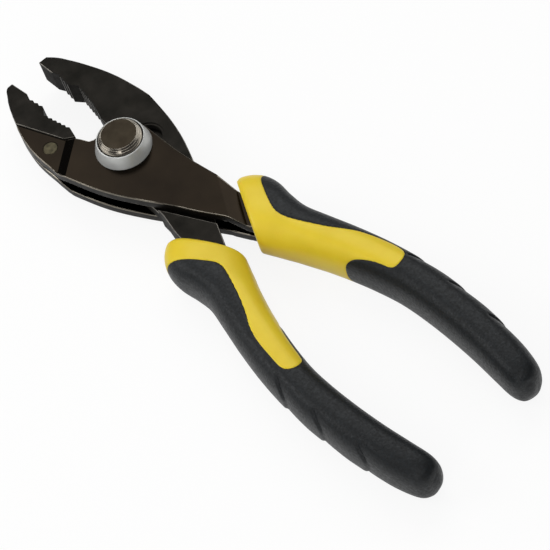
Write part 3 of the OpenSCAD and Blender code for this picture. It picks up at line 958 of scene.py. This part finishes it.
@dataclass
class Head:
    """Plates, jaws and the jaw's rivet, in millimetres."""

    plate_chamfer: float = 0.32
    plate_shortest: float = 0.12
    jaw_chamfer: float = 0.24
    mouth: tuple[Triple, ...] = ((14, -12, -1), (46.9, 8.6, 20))
    pivot_hole_r: float = 7.0
    slot_ends: tuple[Pair, ...] = ((0.0, 0.0), (-0.894, -7.849))
    rivet_at: Pair = (19.0, 14.58)
    rivet_hole_r: float = 2.8
    rivet_r: float = 2.4
    rivet_half: float = 3.9
    rivet_edge: Pair = (0.25, 0.2)
    rivet_crown: float = 0.04

    def build(self) -> list[Piece]:
        """Eases the plates and jaws and grinds the rivet.

        Returns:
            The pieces.
        """
        # Face, edge and wall finishes: the edge finish paints highlights on the chamfers, the
        # wall finish paints shade on the upright walls
        plate = Steel.PLATED.value, Steel.PLATED_EDGE_HIGHLIGHT.value, Steel.PLATED_WALL_SHADE.value
        jaw = Steel.FORGED.value, Steel.FORGED_EDGE_GLINT.value, Steel.FORGED_WALL_SHADE.value
        holes = ((*self.rivet_at, self.rivet_hole_r), (0, 0, self.pivot_hole_r))
        pieces = [EasedSteel(node, "lever_a", "plate", *plate, self.plate_chamfer,
                             self.plate_shortest, holes=holes).build()
                  for node in ("upper_plate", "lower_plate")]
        pieces += [EasedSteel(node, body, "jaw", *jaw, self.jaw_chamfer, mouth=self.mouth,
                              cones=cones).build()
                   for node, body, cones in (("fixed_jaw", "lever_a", ()),
                                             ("jaw_lever", "lever_b", self.slot_ends))]
        return [*pieces, self.rivet()]

    def rivet(self) -> Piece:
        """Makes the jaw's rivet, ground flush and a touch domed.

        Returns:
            The piece.
        """
        top, low = MID_Z + self.rivet_half, MID_Z - self.rivet_half
        radius, (inset, depth) = self.rivet_r, self.rivet_edge
        profile = [(0, low - self.rivet_crown), (radius - inset, low), (radius, low + depth),
                   (radius, top - depth), (radius - inset, top), (0, top + self.rivet_crown)]
        return Turned("jaw_rivet_ground", "lever_a", "rivet", Steel.RIVET.value, profile,
                      "jaw_rivet", ease_mm=0.08, centre=self.rivet_at, steps=64).build()


@dataclass
class Pivot:
    """Collar, button, cap and what is inside them, in millimetres."""

    top_z: float = MID_Z + 5.25
    collar_h: float = 4.5
    proud: float = 1.9
    face_r: float = 5.55
    button_r: float = 6.9
    bore_r: float = 7.25
    rim_r: float = 7.65
    base_r: float = 8.95
    skirt: float = 0.7
    slope_share: float = 0.8
    face_edge: Pair = (0.15, 0.02)
    face_crown: float = 0.03

    def build(self) -> list[Piece]:
        """Turns the visible parts and finishes the hidden ones.

        Returns:
            The new pieces.
        """
        rim = self.top_z + self.collar_h
        edge = (self.rim_r - self.bore_r) / 2
        collar = [(self.bore_r, self.top_z), (self.base_r, self.top_z),
                  (self.base_r, self.top_z + edge), (self.rim_r, rim - edge),
                  (self.rim_r - edge, rim), (self.bore_r, rim), (self.bore_r, self.top_z)]
        top = rim + self.proud
        drop, step = self.proud / 3, (self.button_r - self.face_r) / 3
        slope, seat = self.slope_share * step, top - self.proud / 4
        out, foot = self.button_r, rim - self.skirt
        button = [(0, foot), (out, foot), (out, top - 3 * drop),
                  (out - slope, top - 2 * drop), (out - step, top - 2 * drop),
                  (out - step - slope, top - drop), (out - 2 * step, top - drop),
                  (self.face_r + step / 4, top), (self.face_r, top),
                  (self.face_r, seat), (0, seat)]
        inset, depth = self.face_edge
        face = [(0, seat), (self.face_r, seat), (self.face_r, top - depth),
                (self.face_r - inset, top), (0, top + self.face_crown)]
        pieces = [
            Turned("collar_turned", "lever_a", "collar", Steel.SATIN.value, collar,
                   "pivot_collar", ease_mm=0.15).build(),
            Turned("button_turned", "button", "button", Steel.CHROME.value, button,
                   "push_button", ease_mm=0.05).build(),
            Turned("button_disc", "button", "button_face", Steel.FACE.value, face,
                   "button_face", ease_mm=0.05).build(),
            ReturnSpring().build()]
        for name in ("pivot_pin", "retaining_ring", "button_stem", "stem_clip", "tang_rivets"):
            dress(name, Steel.DRAWN.value)
        dress("back_cap", Steel.PLATED.value)
        dress("tang_core", Steel.FORGED.value)
        return pieces


@dataclass
class ReturnSpring:
    """The coil under the button's head, copied from the CAD part as it is."""

    node: str = "return_spring"
    travel_mm: float = 1.0

    def build(self) -> Piece:
        """Copies the coil, whose lower end rests on the pin, and gives it the drawn steel
        finish.

        Returns:
            The piece that stands for the spring.
        """
        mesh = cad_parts[self.node].data.copy()
        mesh.materials.clear()
        mesh.materials.append(Steel.DRAWN.value.build())
        piece = show("return_spring_coil", mesh)
        tidy_mesh(piece)
        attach(piece, "pivot")
        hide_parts(self.node)
        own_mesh(piece)
        return piece


def dress(node: str, finish: Finish) -> None:
    """Gives a CAD node a finish in every material slot.

    Args:
        node: the node's name.
        finish: the finish.
    """
    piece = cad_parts[node]
    material = finish.build()
    if not piece.material_slots:
        piece.data.materials.append(material)
    for one in piece.material_slots:
        one.material = material


@dataclass(frozen=True)
class SoftBox:
    """A square soft box: its place in millimetres, its side in metres, its watts."""

    name: str
    place: Triple
    side: float
    watts: float


@dataclass
class Studio:
    """Floor, background, soft boxes and camera, in millimetres where no unit is named."""

    target: Triple = (-67.06, 0.82, 8.34)
    position: Triple = (-438.96, 186.32, 601.94)
    roll_degrees: float = 20.55
    lens: float = 163.1
    sensor: float = 36.0
    clip_metres: Pair = (0.05, 20.0)
    floor_half: float = 4000.0
    floor_z: float = -0.02
    floor_glow: float = 0.88
    room_light: float = 0.42
    boxes: tuple[SoftBox, ...] = (
        SoftBox("overhead box", (-457, 226, 856), 0.5, 1.7),
        SoftBox("left box", (484, 552, 553), 0.5, 2.6),
        SoftBox("low box", (-475, 707, 388), 0.4, 1.3),
        SoftBox("back box", (514, -282, 836), 0.6, 2.8),
        SoftBox("right box", (220, -650, 700), 0.3, 1.0))

    def build(self) -> None:
        """Sets up everything round the object."""
        bpy.context.scene.view_settings.view_transform = "Standard"
        self.floor()
        self.world()
        self.lamps()
        self.camera()

    def floor(self) -> None:
        """Lays a pale floor just under the object.

        To the eye and in mirrors it is mostly white glow, which leaves soft contact
        shadows; plain light meets a duller card.
        """
        half, low = self.floor_half, self.floor_z
        corners = np.array([[-half, -half, low], [half, -half, low], [half, half, low],
                            [-half, half, low]])
        material = bpy.data.materials.new("pale_card")
        material.use_nodes = True
        tree = material.node_tree
        tree.nodes.clear()
        path = add(tree, "ShaderNodeLightPath")
        shade = ramp(tree, path.outputs["Is Diffuse Ray"],
                     [(0.0, linear("#f2f2f0")), (1.0, linear("#b8b8b6"))])
        card = add(tree, "ShaderNodeBsdfDiffuse", links={"Color": shade})
        glow = add(tree, "ShaderNodeEmission", {"Color": (1, 1, 1, 1), "Strength": 1.0})
        seen = larger(tree, path.outputs["Is Camera Ray"], path.outputs["Is Transmission Ray"])
        mirrored = larger(tree, seen, path.outputs["Is Glossy Ray"])
        share = add(tree, "ShaderNodeMath", {"operation": "MULTIPLY", 1: self.floor_glow},
                    {0: mirrored})
        mix = add(tree, "ShaderNodeMixShader", links={
            "Fac": share.outputs["Value"], 1: card.outputs["BSDF"],
            2: glow.outputs["Emission"]})
        add(tree, "ShaderNodeOutputMaterial", links={"Surface": mix.outputs["Shader"]})
        floor = place_mesh("floor", corners, [(0, 1, 2, 3)], [material])

    def world(self) -> None:
        """Makes a pale room: white to the eye, plain light on the object.

        Mirrored rays see the same white low down, where the table goes on, and a dimmer
        room above it.
        """
        world = bpy.data.worlds.new("pale room")
        bpy.context.scene.world = world
        world.use_nodes = True
        tree = world.node_tree
        tree.nodes.clear()
        path = add(tree, "ShaderNodeLightPath")
        seen = larger(tree, path.outputs["Is Camera Ray"], path.outputs["Is Transmission Ray"])
        plain = add(tree, "ShaderNodeBackground", {
            "Color": linear("#f4f5f7"), "Strength": self.room_light})
        bright = add(tree, "ShaderNodeBackground", {"Color": (1, 1, 1, 1), "Strength": 1.0})
        ray = add(tree, "ShaderNodeTexCoord").outputs["Generated"]
        height = add(tree, "ShaderNodeSeparateXYZ", links={"Vector": ray}).outputs["Z"]
        room = add(tree, "ShaderNodeBackground", links={"Color": ramp(tree, height, [
            (0.0, linear("#f4f4f4")), (0.05, linear("#7c7c7c")), (0.14, linear("#505050")),
            (0.6, linear("#6a6a6a"))])})
        glossy = add(tree, "ShaderNodeMixShader", links={
            "Fac": path.outputs["Is Glossy Ray"], 1: plain.outputs["Background"],
            2: room.outputs["Background"]})
        mix = add(tree, "ShaderNodeMixShader", links={
            "Fac": seen, 1: glossy.outputs["Shader"], 2: bright.outputs["Background"]})
        add(tree, "ShaderNodeOutputWorld", links={"Surface": mix.outputs["Shader"]})

    def lamps(self) -> None:
        """Hangs the soft boxes and aims them at the object."""
        aim = Vector(self.target) * MM
        for box in self.boxes:
            data = bpy.data.lights.new(box.name, "AREA")
            data.shape = "SQUARE"
            data.size = box.side
            data.energy = box.watts
            lamp = bpy.data.objects.new(box.name, data)
            lamp.location = Vector(box.place) * MM
            lamp.rotation_euler = (aim - lamp.location).to_track_quat("-Z", "Y").to_euler()
            bpy.context.scene.collection.objects.link(lamp)

    def camera(self) -> None:
        """Sets up the photograph's camera: a long lens, high up, turned about its own axis."""
        data = bpy.data.cameras.new("camera")
        data.lens = self.lens
        data.sensor_width = self.sensor
        data.clip_start, data.clip_end = self.clip_metres
        eye, aim = np.array(self.position), np.array(self.target)
        ahead = (aim - eye) / np.linalg.norm(aim - eye)
        level = np.cross(ahead, [0, 0, 1])
        level = level / np.linalg.norm(level)
        upright = np.cross(level, ahead)
        roll = math.radians(self.roll_degrees)
        right = math.cos(roll) * level - math.sin(roll) * upright
        up = math.sin(roll) * level + math.cos(roll) * upright
        camera = bpy.data.objects.new("camera", data)
        camera.matrix_world = Matrix([
            [*(float(v) for v in (right[k], up[k], -ahead[k])), float(eye[k] * MM)]
            for k in range(3)] + [[0, 0, 0, 1]])
        bpy.context.scene.collection.objects.link(camera)
        bpy.context.scene.camera = camera


def main() -> None:
    """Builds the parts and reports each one."""
    logging.basicConfig(level=logging.INFO, format="%(message)s")
    pieces = Head().build() + Pivot().build()
    for grip in (Grip("right", "lever_a", -1.0, RIGHT_SHELL_EDGE),
                 Grip("left", "lever_b", 1.0, LEFT_SHELL_EDGE)):
        pieces += [grip.build(Layer.BODY), grip.build(Layer.COVER)]
    for piece in pieces:
        log.info("%s: %d faces", piece.name, len(piece.data.polygons))
    Studio().build()


if __name__ == "__main__":
    main()
